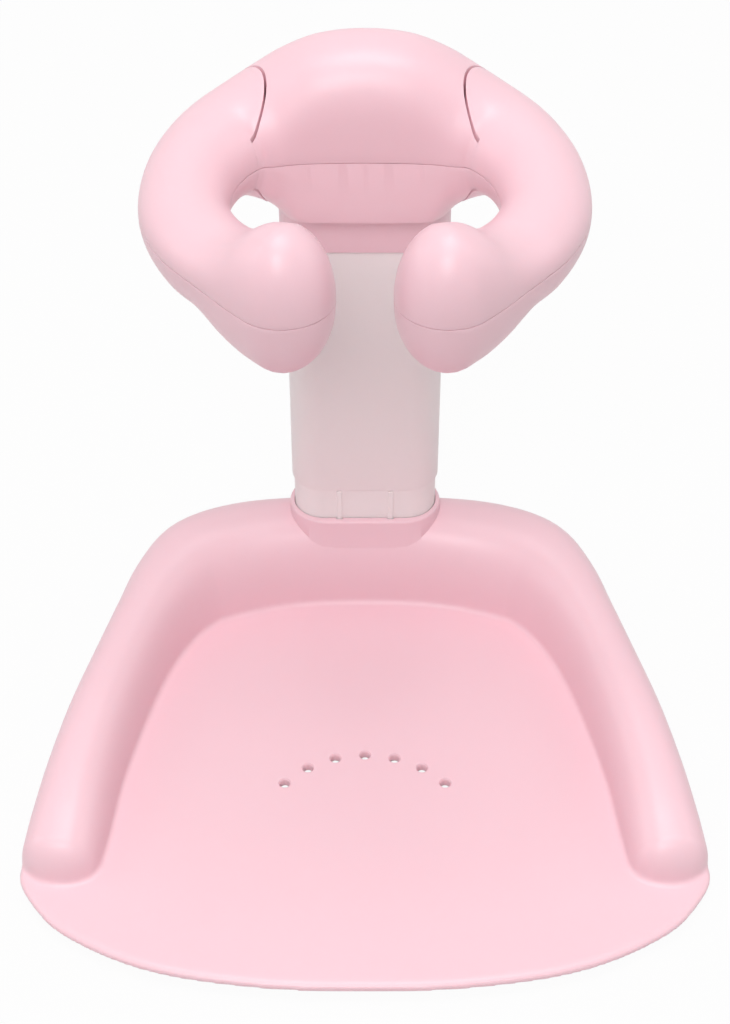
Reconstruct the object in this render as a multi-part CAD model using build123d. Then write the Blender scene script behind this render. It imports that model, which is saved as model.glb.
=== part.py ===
from build123d import *
from math import atan2, cos, degrees, hypot, pi, radians, sin, sqrt
import os

# Baby bath seat: a tray with a raised rim on suction cups, a post that plugs into the back of the
# tray, and on the post a padded-looking bow, a fixed head with one swinging arm at each end.
# Millimetres, +Z up, front towards -Y. Left and right are as seen from the front: right is +X.
# The origin is on the floor, in the middle of the tray.

# Tray
tray_width = 353.0
tray_depth = 320.0
tray_plate = 5.0
tray_edge_round = 2.0
tray_wall = 3.0
cup_stand = 6.0
tray_top = cup_stand + tray_plate

# Rim of the tray, heights over the plate
rim_back_height = 50.0
rim_corner_height = 48.0
rim_shoulder_height = 41.5
rim_middle_height = 35.0
rim_front_height = 23.0
rim_corner_place = 3
rim_shoulder_place = 5
rim_middle_place = 7
rim_roundness = 2.5
rim_nose_length = 15.0
rim_section_gap = 22.0
plate_inset = 8.0

# Plan of the rim, right half from back to front, as shares of half the tray's width and depth:
# x and y of the rim's middle line, and the rim's width as a share of half the tray's width
rim_plan = [
    (0.000, 0.825, 0.317),
    (0.217, 0.819, 0.326),
    (0.414, 0.784, 0.346),
    (0.555, 0.711, 0.335),
    (0.638, 0.591, 0.284),
    (0.696, 0.443, 0.238),
    (0.748, 0.267, 0.221),
    (0.807, 0.013, 0.225),
    (0.847, -0.221, 0.228),
    (0.868, -0.412, 0.235),
    (0.880, -0.525, 0.233),
]
# Front edge of the plate from the end of the rim to the middle, as the same shares
front_edge = [(0.998, -0.560), (0.965, -0.660), (0.855, -0.793), (0.610, -0.925), (0.288, -0.989)]

# Drain holes
drain_count = 7
drain_diameter = 5.2
drain_bevel = 0.6
drain_arc_radius = 56.4
drain_arc_y = -69.4
drain_step_angle = 16.4

# Socket for the post
socket_y = 132.5
socket_length = 86.0
socket_depth = 42.8
socket_top = 67.5
socket_floor = 2.5
socket_fit = 0.4
socket_edge_round = 1.0
socket_drain_diameter = 8.0

# Post
post_length = 82.6
post_depth = 36.3
post_wall = 2.6
post_step = 1.15
post_step_z = 88.5
post_top = 305.0
post_travel = 21.0
post_bottom_gap = 0.5
guide_rib_width = 2.8
guide_rib_spacing = 29.0
guide_rib_drop = 1.2
foot_flange = 2.0
foot_plug_height = 6.0
foot_plug_wall = 2.5

# Catch that keeps the post in its socket
catch_diameter = 10.0
catch_fit = 0.1
catch_flange_diameter = 14.0
catch_flange = 2.0
catch_flange_gap = 0.3
catch_z = 46.0
catch_proud = 4.3
catch_window_fit = 0.5
catch_spring_wire = 0.9
catch_spring_diameter = 8.0
catch_spring_turns = 7
catch_edge_round = 0.8
catch_peg_length = 5.0
catch_peg_fit = 0.3

# Bow: head and arms
seam_z = 311.0
head_depth = 62.0
head_rise = 50.0
head_drop = 42.0
head_bottom_z = 276.0
head_bottom_width = 80.0
head_flank_width = 98.0
head_flank_z = 287.0
arm_width = 43.0
arm_height = 43.0
tip_width = 47.0
tip_height = 73.0
shell_wall = 2.8
flank_wall_share = 0.6

# Plan of the bow's middle line, right half from the head's middle to the arm's tip
bow_middle = [
    (0.0, 130.0),
    (22.0, 129.5),
    (38.0, 127.5),
    (52.0, 123.0),
    (65.5, 114.5),
    (75.0, 101.5),
    (81.5, 85.0),
    (84.0, 66.0),
    (82.0, 48.0),
    (74.0, 30.0),
    (63.5, 16.5),
    (53.5, 5.5),
    (44.5, -3.5),
    (36.0, -11.0),
]
# Cross-sections along that line. Each size is a share of the head's, the arm's or the tip's own
# size: half width, height over the seam, depth under the seam, roundness over and under it.
bow_sections = [
    ("head", 1.00, 1.00, 1.00, 2.5, 7.0),
    ("head", 1.00, 0.95, 1.00, 2.5, 6.0),
    ("head", 0.98, 0.82, 0.98, 2.4, 4.5),
    ("head", 0.95, 0.65, 0.74, 2.2, 2.8),
    ("arm", 1.23, 1.22, 1.12, 2.1, 2.2),
    ("arm", 1.13, 1.12, 1.01, 2.0, 2.0),
    ("arm", 1.05, 1.02, 1.06, 2.0, 2.0),
    ("arm", 1.00, 0.90, 1.11, 2.0, 2.0),
    ("arm", 0.98, 0.82, 1.18, 2.0, 2.0),
    ("arm", 0.97, 0.78, 1.22, 2.0, 2.0),
    ("arm", 0.97, 0.80, 1.22, 2.0, 2.0),
    ("tip", 0.91, 0.62, 0.90, 2.1, 2.1),
    ("tip", 0.96, 0.88, 0.98, 2.1, 2.1),
    ("tip", 1.00, 1.00, 1.00, 2.1, 2.1),
]
bow_section_gap = 13.0
head_reach = 60.0

# Collar of the head round the post
collar_wall = 2.5
collar_bottom_z = 250.5
collar_fit = 0.15
collar_sleeve_top_z = 292.0
collar_edge_round = 0.8

# Arm pivots
pivot_x = 78.0
pivot_y = 115.0
pivot_cut_angle = -51.5
pivot_diameter = 8.0
pivot_length = 34.0
pivot_bottom_z = seam_z - pivot_length / 2
pin_chamfer = 0.5
knuckle_radius = 30.2
knuckle_gap = 0.5
arm_swing = 70.0
pivot_boss_diameter = 15.0
bush_wall = 2.0
bush_fit = 0.05
washer_thickness = 1.0
washer_diameter = 18.0

# Yoke that carries both pivots on the post
yoke_thickness = 12.0
yoke_bar_width = 9.0
yoke_eye_diameter = 20.0
yoke_pad_length = 76.0
yoke_pad_depth = 33.0
yoke_pad_round = 6.0
yoke_root_x = 28.0
yoke_knee_x = 47.0
yoke_knee_y = 108.0
yoke_slot_fit = 1.0

# Screws
screw_diameter = 3.0
screw_head_diameter = 6.0
screw_head_height = 2.2
screw_thread_fit = 0.05
screw_boss_diameter = 8.0
screw_pocket_fit = 0.4
yoke_screw_length = 24.0
yoke_screw_x = 33.0
yoke_post_diameter = 10.0
yoke_post_length = 30.0
head_screw_places = [(22.0, 106.5), (50.0, 143.0)]
head_screw_head_z = 284.0
head_screw_length = 36.0
arm_screw_places = [(84.0, 66.0), (72.0, 28.0), (38.0, -9.0)]
arm_screw_head_z = 293.0
arm_screw_length = 28.0

# Suction cups
cup_diameter = 37.0
cup_lip = 1.6
cup_hollow = 3.4
cup_crown_share = 0.45
cup_crown_fall = 0.82
cup_edge = 0.9
cup_shoulder = 4.0
cup_shoulder_drop = 1.4
cup_neck_drop = 0.6
cup_stud_chamfer = 0.8
cup_neck_diameter = 12.0
cup_stud_diameter = 8.0
cup_stud_length = 13.0
cup_boss_diameter = 15.0
cup_shares = [("front", 0.880, -0.470), ("rear", 0.560, 0.700)]

# Rounded sections: points on each arch, and the steps in which a round end closes
arch_points = 12
end_shares = (0.4, 0.7, 0.88, 0.97, 0.995)
hollow_end_shares = (0.4, 0.7)
hollow_skirt = 4.0

half_width = tray_width / 2
half_depth = tray_depth / 2
tongue_length = post_length - 2 * post_step
tongue_depth = post_depth - 2 * post_step
foot_bottom_z = cup_stand + socket_floor + post_bottom_gap + post_travel
post_bottom_z = foot_bottom_z + foot_flange


def cylinder_between(x, y, low, high, diameter):
    return Pos(x, y, (low + high) / 2) * Cylinder(diameter / 2, high - low)


def block(x0, x1, y0, y1, z0, z1):
    return Pos((x0 + x1) / 2, (y0 + y1) / 2, (z0 + z1) / 2) * Box(x1 - x0, y1 - y0, z1 - z0)


def stadium(length, depth, y, low, high):
    """An upright bar whose section is a rectangle with half-round ends."""
    return Pos(0, y, low) * extrude(SlotOverall(length, depth), high - low)


def bar(start, end, width, low, high):
    """An upright-sided bar with round ends between two plan points."""
    length = hypot(end[0] - start[0], end[1] - start[1])
    turn = degrees(atan2(end[1] - start[1], end[0] - start[0]))
    middle = Pos((start[0] + end[0]) / 2, (start[1] + end[1]) / 2, low)
    return middle * Rot(0, 0, turn) * extrude(SlotCenterToCenter(length, width), high - low)


def arch(x, y, heading, wide, rise, power, level, skirt):
    """An upright section across a heading: a flat foot at a level and a rounded arch over it, or
    under it if the rise is negative. A skirt carries the foot on past the level."""
    across = (heading[1], -heading[0])
    outline = []
    for step in range(arch_points + 1):
        angle = pi * step / arch_points
        reach = abs(cos(angle)) ** (2 / power) * wide * (1 if cos(angle) > 0 else -1)
        lift = abs(sin(angle)) ** (2 / power) * rise
        outline.append(Vector(x + across[0] * reach, y + across[1] * reach, level + lift))
    first, last = outline[0], outline[-1]
    start = Vector(first.X, first.Y, level)
    end = Vector(last.X, last.Y, level)
    way = 1 if rise > 0 else -1
    edges = [Spline(start, *outline[1:-1], end, tangents=[(0, 0, way), (0, 0, -way)]).edge()]
    foot = Vector(0, 0, -way * skirt)
    if skirt:
        edges += [Line(end, end + foot).edge(), Line(start + foot, start).edge()]
    edges.append(Line(end + foot, start + foot).edge())
    return Face(Wire(edges))


def evenly_spaced(rows, gap):
    """Rows at even steps of a smooth line through the given ones: x and y first, then sizes."""
    run = [0.0]
    for before, after in zip(rows, rows[1:]):
        run.append(run[-1] + hypot(after[0] - before[0], after[1] - before[1]))
    last = len(rows) - 1
    slopes = []
    for place in range(last + 1):
        low, high = max(place - 1, 0), min(place + 1, last)
        slopes.append([(b - a) / (run[high] - run[low]) for a, b in zip(rows[low], rows[high])])
    count = 2 * round(run[-1] / gap / 2)
    spaced = []
    for step in range(count + 1):
        at = run[-1] * step / count
        place = max(index for index in range(last) if run[index] <= at + 1e-9)
        span = run[place + 1] - run[place]
        t = (at - run[place]) / span
        ease = 3 * t**2 - 2 * t**3
        leave, meet = t * (1 - t) ** 2 * span, t**2 * (1 - t) * span
        pairs = zip(rows[place], rows[place + 1], slopes[place], slopes[place + 1])
        spaced.append(tuple(a + (b - a) * ease + p * leave - q * meet for a, b, p, q in pairs))
    return spaced


def with_headings(rows):
    """Each row of a plan line again, with the line's direction there after its x and y."""
    headed = []
    for place, row in enumerate(rows):
        before = rows[max(place - 1, 0)]
        after = rows[min(place + 1, len(rows) - 1)]
        length = hypot(after[0] - before[0], after[1] - before[1])
        heading = ((after[0] - before[0]) / length, (after[1] - before[1]) / length)
        headed.append((row[0], row[1], heading, *row[2:]))
    return headed


def both_sides(right, gap):
    """Evenly spaced rows, with headings, of a line that mirrors its right half at x = 0."""
    return with_headings(evenly_spaced([(-x, *rest) for x, *rest in right[:0:-1]] + right, gap))


def rounded_end(row, length, shares):
    """Further rows past the last one, where the sizes shrink to a round end."""
    x, y, heading, *sizes, power = row
    rows = []
    for share in shares:
        shrink = sqrt(1 - share**2)
        place = (x + heading[0] * length * share, y + heading[1] * length * share)
        rows.append((*place, heading, *[size * shrink for size in sizes], power))
    return rows


def arched(rows, level, skirt):
    """One loft through the arches of all rows."""
    return loft([arch(*row, level, skirt) for row in rows])


def other_side(shape):
    return mirror(shape, about=Plane.YZ)


def one_solid(shape):
    """The shape's largest solid, so that no crumb of a cut is left beside it."""
    return max(shape.solids(), key=lambda solid: solid.volume)


# Tray

def rim_heights():
    """Crest heights over the plate, one for each plan point, in straight runs from back to front."""
    places = [0, rim_corner_place, rim_shoulder_place, rim_middle_place, len(rim_plan) - 1]
    heights = [
        rim_back_height, rim_corner_height, rim_shoulder_height, rim_middle_height, rim_front_height
    ]
    eased = []
    for start, end, low, high in zip(places, places[1:], heights, heights[1:]):
        eased += [low + (high - low) * step / (end - start) for step in range(end - start)]
    return eased + [rim_front_height]


def rim_half(inset, skirt):
    """Right half of the rim, smaller all round by the inset, up to its round nose."""
    right = []
    for (x, y, width), height in zip(rim_plan, rim_heights()):
        rise = tray_plate + height - inset
        right.append((x * half_width, y * half_depth, width * half_width / 2 - inset, rise))
    rows = both_sides(right, rim_section_gap)
    rows = [(*row, rim_roundness) for row in rows[len(rows) // 2:]]
    shares = hollow_end_shares if skirt else end_shares
    return arched(rows + rounded_end(rows[-1], rim_nose_length - inset, shares), cup_stand, skirt)


def tray_outline():
    """The plate's outline: it runs hidden inside the rim, then out round the bare front edge."""
    hidden = []
    for place, (x, y, width) in enumerate(rim_plan[:-1]):
        before = rim_plan[max(place - 1, 0)]
        after = rim_plan[place + 1]
        run = ((after[0] - before[0]) * half_width, (after[1] - before[1]) * half_depth)
        across = (-run[1] / hypot(*run), run[0] / hypot(*run))
        reach = width * half_width / 2 - plate_inset
        hidden.append((x * half_width + across[0] * reach, y * half_depth + across[1] * reach))
    hidden[0] = (0.0, hidden[0][1])
    right = hidden + [(x * half_width, y * half_depth) for x, y in front_edge] + [(0.0, -half_depth)]
    edges = []
    for side in (1, -1):
        points = [(side * x, y) for x, y in right]
        edges.append(Spline(*points, tangents=[(side, 0), (-side, 0)]).edge())
    return make_face(edges)


def cup_places():
    places = {}
    for end, x, y in cup_shares:
        for side, sign in (("left", -1), ("right", 1)):
            places[f"{end}_{side}"] = (sign * x * half_width, y * half_depth)
    return places


def drain_holes():
    holes = []
    for place in range(drain_count):
        angle = radians(90 + drain_step_angle * (place - (drain_count - 1) / 2))
        x = drain_arc_radius * cos(angle)
        y = drain_arc_y + drain_arc_radius * sin(angle)
        holes.append(cylinder_between(x, y, 0, tray_top + 1, drain_diameter))
        flare = Cone(drain_diameter / 2, drain_diameter / 2 + drain_bevel, drain_bevel)
        holes.append(Pos(x, y, tray_top - drain_bevel / 2) * flare)
    return holes


def catch_window():
    """Upright slot in the back of the socket, which the catch rides in."""
    half = catch_diameter / 2 + catch_window_fit
    low = catch_z - post_travel - half
    return block(-half, half, socket_y, half_depth + rim_nose_length, low, catch_z + half)


def make_seat_base():
    beyond = 2 * tray_width
    right_side = block(0, beyond, -beyond, beyond, -beyond, beyond)
    plate = Pos(0, 0, cup_stand) * extrude(tray_outline(), tray_plate)
    top_edges = plate.edges().filter_by_position(Axis.Z, tray_top - 0.01, tray_top + 0.01)
    plate = fillet(top_edges, tray_edge_round) & right_side
    rim = rim_half(0, 0)
    base = (plate + rim) - rim_half(tray_wall, hollow_skirt)
    for x, y in cup_places().values():
        if x > 0:
            boss = cylinder_between(x, y, cup_stand, tray_top + rim_back_height, cup_boss_diameter)
            base = base + (boss & rim)
            base = base - cylinder_between(x, y, 0, cup_stand + cup_stud_length, cup_stud_diameter)
    sleeve = stadium(socket_length, socket_depth, socket_y, cup_stand, socket_top)
    rim_edges = sleeve.edges().filter_by_position(Axis.Z, socket_top - 0.01, socket_top + 0.01)
    sleeve = fillet(rim_edges, socket_edge_round)
    bore_length = tongue_length + 2 * socket_fit
    bore_depth = tongue_depth + 2 * socket_fit
    bore = stadium(bore_length, bore_depth, socket_y, cup_stand + socket_floor, socket_top + 1)
    base = base + (sleeve & right_side) - bore - catch_window()
    x = guide_rib_spacing / 2
    half = guide_rib_width / 2 + socket_fit
    front = socket_y - post_depth / 2 - socket_fit
    groove_low = foot_bottom_z - post_travel
    base = base - block(x - half, x + half, front, socket_y, groove_low, socket_top + 1)
    base = base + other_side(base)
    base = base - drain_holes() - cylinder_between(0, socket_y, 0, tray_top, socket_drain_diameter)
    return one_solid(base)


def make_suction_cup(x, y):
    """Soft bell with a flat lip, a neck and a stud that pushes into its boss under the rim."""
    rim = cup_diameter / 2
    neck = cup_neck_diameter / 2
    stud = cup_stud_diameter / 2
    bell = Polyline(
        (0, cup_hollow),
        (rim * cup_crown_share, cup_hollow * cup_crown_fall),
        (rim - cup_lip, 0),
        (rim, 0),
        (rim, cup_edge),
        (neck + cup_shoulder, cup_stand - cup_shoulder_drop),
        (neck, cup_stand - cup_neck_drop),
        (neck, cup_stand),
        (stud, cup_stand),
        (stud, cup_stand + cup_stud_length - cup_stud_chamfer),
        (stud - cup_stud_chamfer, cup_stand + cup_stud_length),
        (0, cup_stand + cup_stud_length),
        close=True,
    )
    profile = make_face(Plane.XZ * bell)
    return Pos(x, y, 0) * revolve(profile, Axis.Z)


# Post

def make_post():
    upper = stadium(post_length, post_depth, socket_y, post_step_z, post_top)
    tongue = stadium(tongue_length, tongue_depth, socket_y, post_bottom_z, post_step_z)
    inner_length = tongue_length - 2 * post_wall
    inner_depth = tongue_depth - 2 * post_wall
    inside = stadium(inner_length, inner_depth, socket_y, post_bottom_z - 1, post_top + 1)
    post = upper + tongue
    front = socket_y - post_depth / 2
    for side in (-1, 1):
        x = side * guide_rib_spacing / 2
        half = guide_rib_width / 2
        rib = block(x - half, x + half, front, socket_y, post_bottom_z, post_step_z - guide_rib_drop)
        post = post + rib
    post = post - inside
    shell = stadium(tongue_length, tongue_depth, socket_y, post_top - yoke_post_length, post_top)
    for side in (-1, 1):
        x = side * yoke_screw_x
        boss = cylinder_between(x, socket_y, post_top - yoke_post_length, post_top, yoke_post_diameter)
        post = post + (boss & shell)
        hole = screw_diameter + 2 * screw_thread_fit
        post = post - cylinder_between(x, socket_y, post_top - yoke_post_length - 1, post_top + 1, hole)
    front_inside = socket_y - inner_depth / 2
    spring_peg = Pos(0, front_inside, catch_z) * Rot(90, 0, 0) * Cylinder(
        catch_spring_diameter / 2 - catch_spring_wire - catch_peg_fit, 2 * catch_peg_length
    )
    post = post + (spring_peg & inside)
    guide = Pos(0, socket_y + tongue_depth / 2, catch_z) * Rot(90, 0, 0) * Cylinder(
        catch_diameter / 2 + catch_fit, 4 * post_wall
    )
    return one_solid(post - guide)


def make_post_foot():
    """Plug that closes the post's lower end and keeps water out."""
    inner_length = tongue_length - 2 * post_wall
    inner_depth = tongue_depth - 2 * post_wall
    flange = stadium(tongue_length, tongue_depth, socket_y, foot_bottom_z, post_bottom_z)
    plug_top = post_bottom_z + foot_plug_height
    plug = stadium(inner_length, inner_depth, socket_y, post_bottom_z, plug_top)
    hollow = stadium(
        inner_length - 2 * foot_plug_wall, inner_depth - 2 * foot_plug_wall,
        socket_y, post_bottom_z, plug_top + 1,
    )
    return flange + (plug - hollow)


def catch_inner_y():
    return socket_y + tongue_depth / 2 - post_wall - catch_flange_gap


def make_catch_button():
    """Push button in the back of the post: a shaft with a flange that holds it in."""
    inner = catch_inner_y()
    outer = socket_y + tongue_depth / 2 + catch_proud
    shaft = Pos(0, (inner + outer) / 2, catch_z) * Rot(90, 0, 0) * Cylinder(
        catch_diameter / 2, outer - inner
    )
    rim = shaft.edges().filter_by(GeomType.CIRCLE).sort_by(Axis.Y)[-1]
    shaft = fillet(rim, catch_edge_round)
    flange = Pos(0, inner - catch_flange / 2, catch_z) * Rot(90, 0, 0) * Cylinder(
        catch_flange_diameter / 2, catch_flange
    )
    return shaft + flange


def make_catch_spring():
    """Coil spring between the flange and the front wall of the post, on a short peg."""
    start = socket_y - tongue_depth / 2 + post_wall
    length = catch_inner_y() - catch_flange - start - catch_spring_wire
    radius = (catch_spring_diameter - catch_spring_wire) / 2
    path = Helix(pitch=length / catch_spring_turns, height=length, radius=radius)
    section = Plane(origin=path @ 0, z_dir=path % 0) * Circle(catch_spring_wire / 2)
    coil = sweep(section, path=path, is_frenet=True)
    return Pos(0, start + catch_spring_wire / 2, catch_z) * Rot(-90, 0, 0) * coil


# Bow

def bow_rows(side, inset):
    """Evenly spaced rows of the bow's upper (1) or lower (-1) half, smaller by the inset."""
    own = {
        "head": (head_depth / 2, head_rise, head_drop),
        "arm": (arm_width / 2, arm_height / 2, arm_height / 2),
        "tip": (tip_width / 2, tip_height / 2, tip_height / 2),
    }
    right = []
    for (x, y), (kind, wide, rise, drop, over, under) in zip(bow_middle, bow_sections):
        width, up, down = own[kind]
        if side > 0:
            right.append((x, y, wide * width - inset, rise * up - inset, over))
        else:
            right.append((x, y, wide * width - inset, inset - drop * down, under))
    return both_sides(right, bow_section_gap)


def head_body(side, inset, skirt):
    """Half of the bow's middle, a little longer than the head."""
    rows = [row for row in bow_rows(side, inset) if row[1] > pivot_y - head_reach]
    return arched(rows, seam_z, skirt)


def arm_body(side, inset, skirt):
    """Half of the right arm, from inside the head to its round tip."""
    rows = [row for row in bow_rows(side, inset) if row[0] > 0]
    shares = hollow_end_shares if skirt else end_shares
    return arched(rows + rounded_end(rows[-1], tip_width / 2 - inset, shares), seam_z, skirt)


def head_trim(inset):
    """What the head keeps of the bow: a flat bottom with two slanted flanks."""
    low = head_bottom_z + inset
    inner = head_bottom_width / 2 - inset * flank_wall_share
    flank = head_flank_width / 2 - inset * flank_wall_share
    flank_z = head_flank_z + inset
    high = seam_z + head_rise + 5
    outline = Polyline(
        (-inner, low), (inner, low), (flank, flank_z), (pivot_x, low), (pivot_x, high),
        (-pivot_x, high), (-pivot_x, low), (-flank, flank_z), close=True,
    )
    return extrude(make_face(Plane.XZ * outline), -(2 * half_depth))


def arm_side():
    """Everything on the arm's side of a plane through the right pivot, across the bow."""
    size = 2 * tray_depth
    turned = Pos(pivot_x, pivot_y, seam_z) * Rot(0, 0, pivot_cut_angle)
    return turned * Pos(size / 2, 0, 0) * Box(size, size, size)


def knuckle(radius):
    low, high = seam_z - 2 * head_drop, seam_z + 2 * head_rise
    return cylinder_between(pivot_x, pivot_y, low, high, 2 * radius)


def yoke_limb(extra):
    """The yoke's bent limb from its pad to the right pivot, thicker all round by the extra."""
    low = seam_z - yoke_thickness / 2 - extra
    high = seam_z + yoke_thickness / 2 + extra
    width = yoke_bar_width + 2 * extra
    root = (yoke_root_x, socket_y - yoke_pad_depth / 2 + yoke_bar_width / 2)
    knee = (yoke_knee_x, yoke_knee_y)
    return bar(root, knee, width, low, high) + bar(knee, (pivot_x, pivot_y), width, low, high)


def screw(x, y, head_z, length):
    """Pan-head screw that points up, its head's top face at head_z."""
    head = cylinder_between(x, y, head_z - screw_head_height, head_z, screw_head_diameter)
    return head + cylinder_between(x, y, head_z, head_z + length, screw_diameter)


def screw_room(x, y, head_z, length):
    """The pocket under a screw and the hole that its thread bites into."""
    pocket = screw_head_diameter + 2 * screw_pocket_fit
    hole = screw_diameter + 2 * screw_thread_fit
    room = cylinder_between(x, y, 0, head_z, pocket)
    return room + cylinder_between(x, y, head_z - 1, head_z + length, hole)


def make_head(side):
    """The head's upper (1) or lower (-1) shell, the lower one with the collar round the post."""
    beyond = arm_side() + knuckle(knuckle_radius + knuckle_gap)
    beyond_wall = arm_side() + knuckle(knuckle_radius + knuckle_gap + shell_wall)
    skin = (head_body(side, 0, 0) & head_trim(0)) - beyond - other_side(beyond)
    inside = head_body(side, shell_wall, hollow_skirt) & head_trim(shell_wall)
    shell = skin - (inside - beyond_wall - other_side(beyond_wall))
    for x, y in head_screw_places:
        for sign in (-1, 1):
            boss = cylinder_between(sign * x, y, head_bottom_z, seam_z + head_rise, screw_boss_diameter)
            shell = shell + (boss & skin)
            shell = shell - screw_room(sign * x, y, head_screw_head_z, head_screw_length)
    passage = yoke_limb(yoke_slot_fit)
    shell = shell - passage - other_side(passage)
    bore_length = post_length + 2 * collar_fit
    bore_depth = post_depth + 2 * collar_fit
    bore = stadium(bore_length, bore_depth, socket_y, collar_bottom_z - 1, post_top)
    if side < 0:
        collar_length = post_length + 2 * collar_wall
        collar_depth = post_depth + 2 * collar_wall
        collar = stadium(collar_length, collar_depth, socket_y, collar_bottom_z, collar_sleeve_top_z)
        low = collar.edges().filter_by_position(Axis.Z, collar_bottom_z - 0.01, collar_bottom_z + 0.01)
        collar = fillet(low, collar_edge_round)
        visible = block(-tray_width, tray_width, 0, tray_depth, collar_bottom_z - 1, head_bottom_z + 1)
        shell = shell + (collar & visible) + (collar & skin) - bore
    return one_solid(shell)


def ring_sector(inner, outer, first, last, low, high):
    """Part of a ring about the right pivot, between two angles."""
    points = []
    for radius, angle in ((inner, first), (outer, first), (outer, last), (inner, last)):
        place = (pivot_x + radius * cos(radians(angle)), pivot_y + radius * sin(radians(angle)))
        points.append(place)
    middle = radians((first + last) / 2)
    outer_middle = (pivot_x + outer * cos(middle), pivot_y + outer * sin(middle))
    inner_middle = (pivot_x + inner * cos(middle), pivot_y + inner * sin(middle))
    edges = [
        Line(points[0], points[1]),
        ThreePointArc(points[1], outer_middle, points[2]),
        Line(points[2], points[3]),
        ThreePointArc(points[3], inner_middle, points[0]),
    ]
    face = make_face([edge.edge() for edge in edges])
    return Pos(0, 0, low) * extrude(face, high - low)


def make_arm(side):
    """The right arm's upper (1) or lower (-1) shell, with pivot and screw bosses."""
    place = arm_side()
    skin = arm_body(side, 0, 0) & (place + knuckle(knuckle_radius))
    inside = arm_body(side, shell_wall, hollow_skirt) & (place + knuckle(knuckle_radius - shell_wall))
    shell = skin - inside
    seat = seam_z + side * (yoke_thickness / 2 + washer_thickness)
    end = seam_z + side * tip_height
    boss = cylinder_between(pivot_x, pivot_y, min(seat, end), max(seat, end), pivot_boss_diameter)
    shell = shell + (boss & skin)
    shell = shell - cylinder_between(
        pivot_x, pivot_y, pivot_bottom_z, pivot_bottom_z + pivot_length, pivot_diameter
    )
    for x, y in arm_screw_places:
        boss = cylinder_between(x, y, 0, seam_z + tip_height, screw_boss_diameter)
        shell = shell + (boss & skin) - screw_room(x, y, arm_screw_head_z, arm_screw_length)
    lug_angle = degrees(atan2(yoke_knee_y - pivot_y, yoke_knee_x - pivot_x)) % 360
    margin = degrees((yoke_bar_width / 2 + yoke_slot_fit) / knuckle_radius)
    half = yoke_thickness / 2 + yoke_slot_fit
    slot = ring_sector(
        knuckle_radius - 3 * shell_wall, knuckle_radius + 1,
        lug_angle - arm_swing - margin, lug_angle + margin,
        seam_z - half, seam_z + half,
    )
    return one_solid(shell - slot)


def make_yoke():
    """Stiff bracket on top of the post, with an eye at each end for the arm's pivot."""
    low = seam_z - yoke_thickness / 2
    high = seam_z + yoke_thickness / 2
    pad = block(
        -yoke_pad_length / 2, yoke_pad_length / 2,
        socket_y - yoke_pad_depth / 2, socket_y + yoke_pad_depth / 2, low, high,
    )
    upright = pad.edges().filter_by(Axis.Z)
    pad = fillet(upright, yoke_pad_round)
    half = yoke_limb(0) + cylinder_between(pivot_x, pivot_y, low, high, yoke_eye_diameter)
    half = half - cylinder_between(pivot_x, pivot_y, low - 1, high + 1, pivot_diameter + 2 * bush_wall)
    yoke = pad + half + other_side(half)
    for side in (-1, 1):
        x = side * yoke_screw_x
        hole = screw_diameter + 2 * screw_pocket_fit
        yoke = yoke - cylinder_between(x, socket_y, low - 1, high + 1, hole)
    return one_solid(yoke)


def make_yoke_screws():
    top = seam_z + yoke_thickness / 2
    screws = []
    for side in (-1, 1):
        x = side * yoke_screw_x
        head = cylinder_between(x, socket_y, top, top + screw_head_height, screw_head_diameter)
        screws.append(head + cylinder_between(x, socket_y, top - yoke_screw_length, top, screw_diameter))
    return screws


def make_pivot_pin():
    pin = cylinder_between(
        pivot_x, pivot_y, pivot_bottom_z, pivot_bottom_z + pivot_length, pivot_diameter
    )
    return chamfer(pin.edges().filter_by(GeomType.CIRCLE), pin_chamfer)


def make_pivot_bush():
    low = seam_z - yoke_thickness / 2
    high = seam_z + yoke_thickness / 2
    tube = cylinder_between(pivot_x, pivot_y, low, high, pivot_diameter + 2 * bush_wall)
    return tube - cylinder_between(pivot_x, pivot_y, low - 1, high + 1, pivot_diameter + 2 * bush_fit)


def make_washers():
    """Two spring washers that press on the yoke's eye and hold the arm where it is put."""
    washers = []
    for side in (-1, 1):
        near = seam_z + side * yoke_thickness / 2
        far = near + side * washer_thickness
        low, high = min(near, far), max(near, far)
        ring = cylinder_between(pivot_x, pivot_y, low, high, washer_diameter)
        washers.append(ring - cylinder_between(pivot_x, pivot_y, low - 1, high + 1, pivot_diameter))
    return washers


def make_pieces():
    pieces = {"seat_base": make_seat_base()}
    for name, (x, y) in cup_places().items():
        pieces[f"suction_cup_{name}"] = make_suction_cup(x, y)
    pieces["post"] = make_post()
    pieces["post_foot"] = make_post_foot()
    pieces["catch_button"] = make_catch_button()
    pieces["catch_spring"] = make_catch_spring()
    pieces["head_lower_shell"] = make_head(-1)
    pieces["head_upper_shell"] = make_head(1)
    pieces["head_screws"] = Compound(children=[
        screw(sign * x, y, head_screw_head_z, head_screw_length)
        for x, y in head_screw_places for sign in (-1, 1)
    ])
    pieces["hinge_yoke"] = make_yoke()
    pieces["yoke_screws"] = Compound(children=make_yoke_screws())
    arm = {
        "arm_lower_shell": [make_arm(-1)],
        "arm_upper_shell": [make_arm(1)],
        "arm_screws": [screw(x, y, arm_screw_head_z, arm_screw_length) for x, y in arm_screw_places],
        "pivot_pin": [make_pivot_pin()],
        "pivot_bush": [make_pivot_bush()],
        "friction_washers": make_washers(),
    }
    for name, solids in arm.items():
        pieces[f"right_{name}"] = Compound(children=solids)
        pieces[f"left_{name}"] = Compound(children=[other_side(solid) for solid in solids])
    return pieces


os.makedirs("parts", exist_ok=True)
for node, shape in make_pieces().items():
    export_step(shape, f"parts/{node}.step")
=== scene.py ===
from math import atan2, cos, degrees, hypot, pi, radians, sin, sqrt

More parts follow.
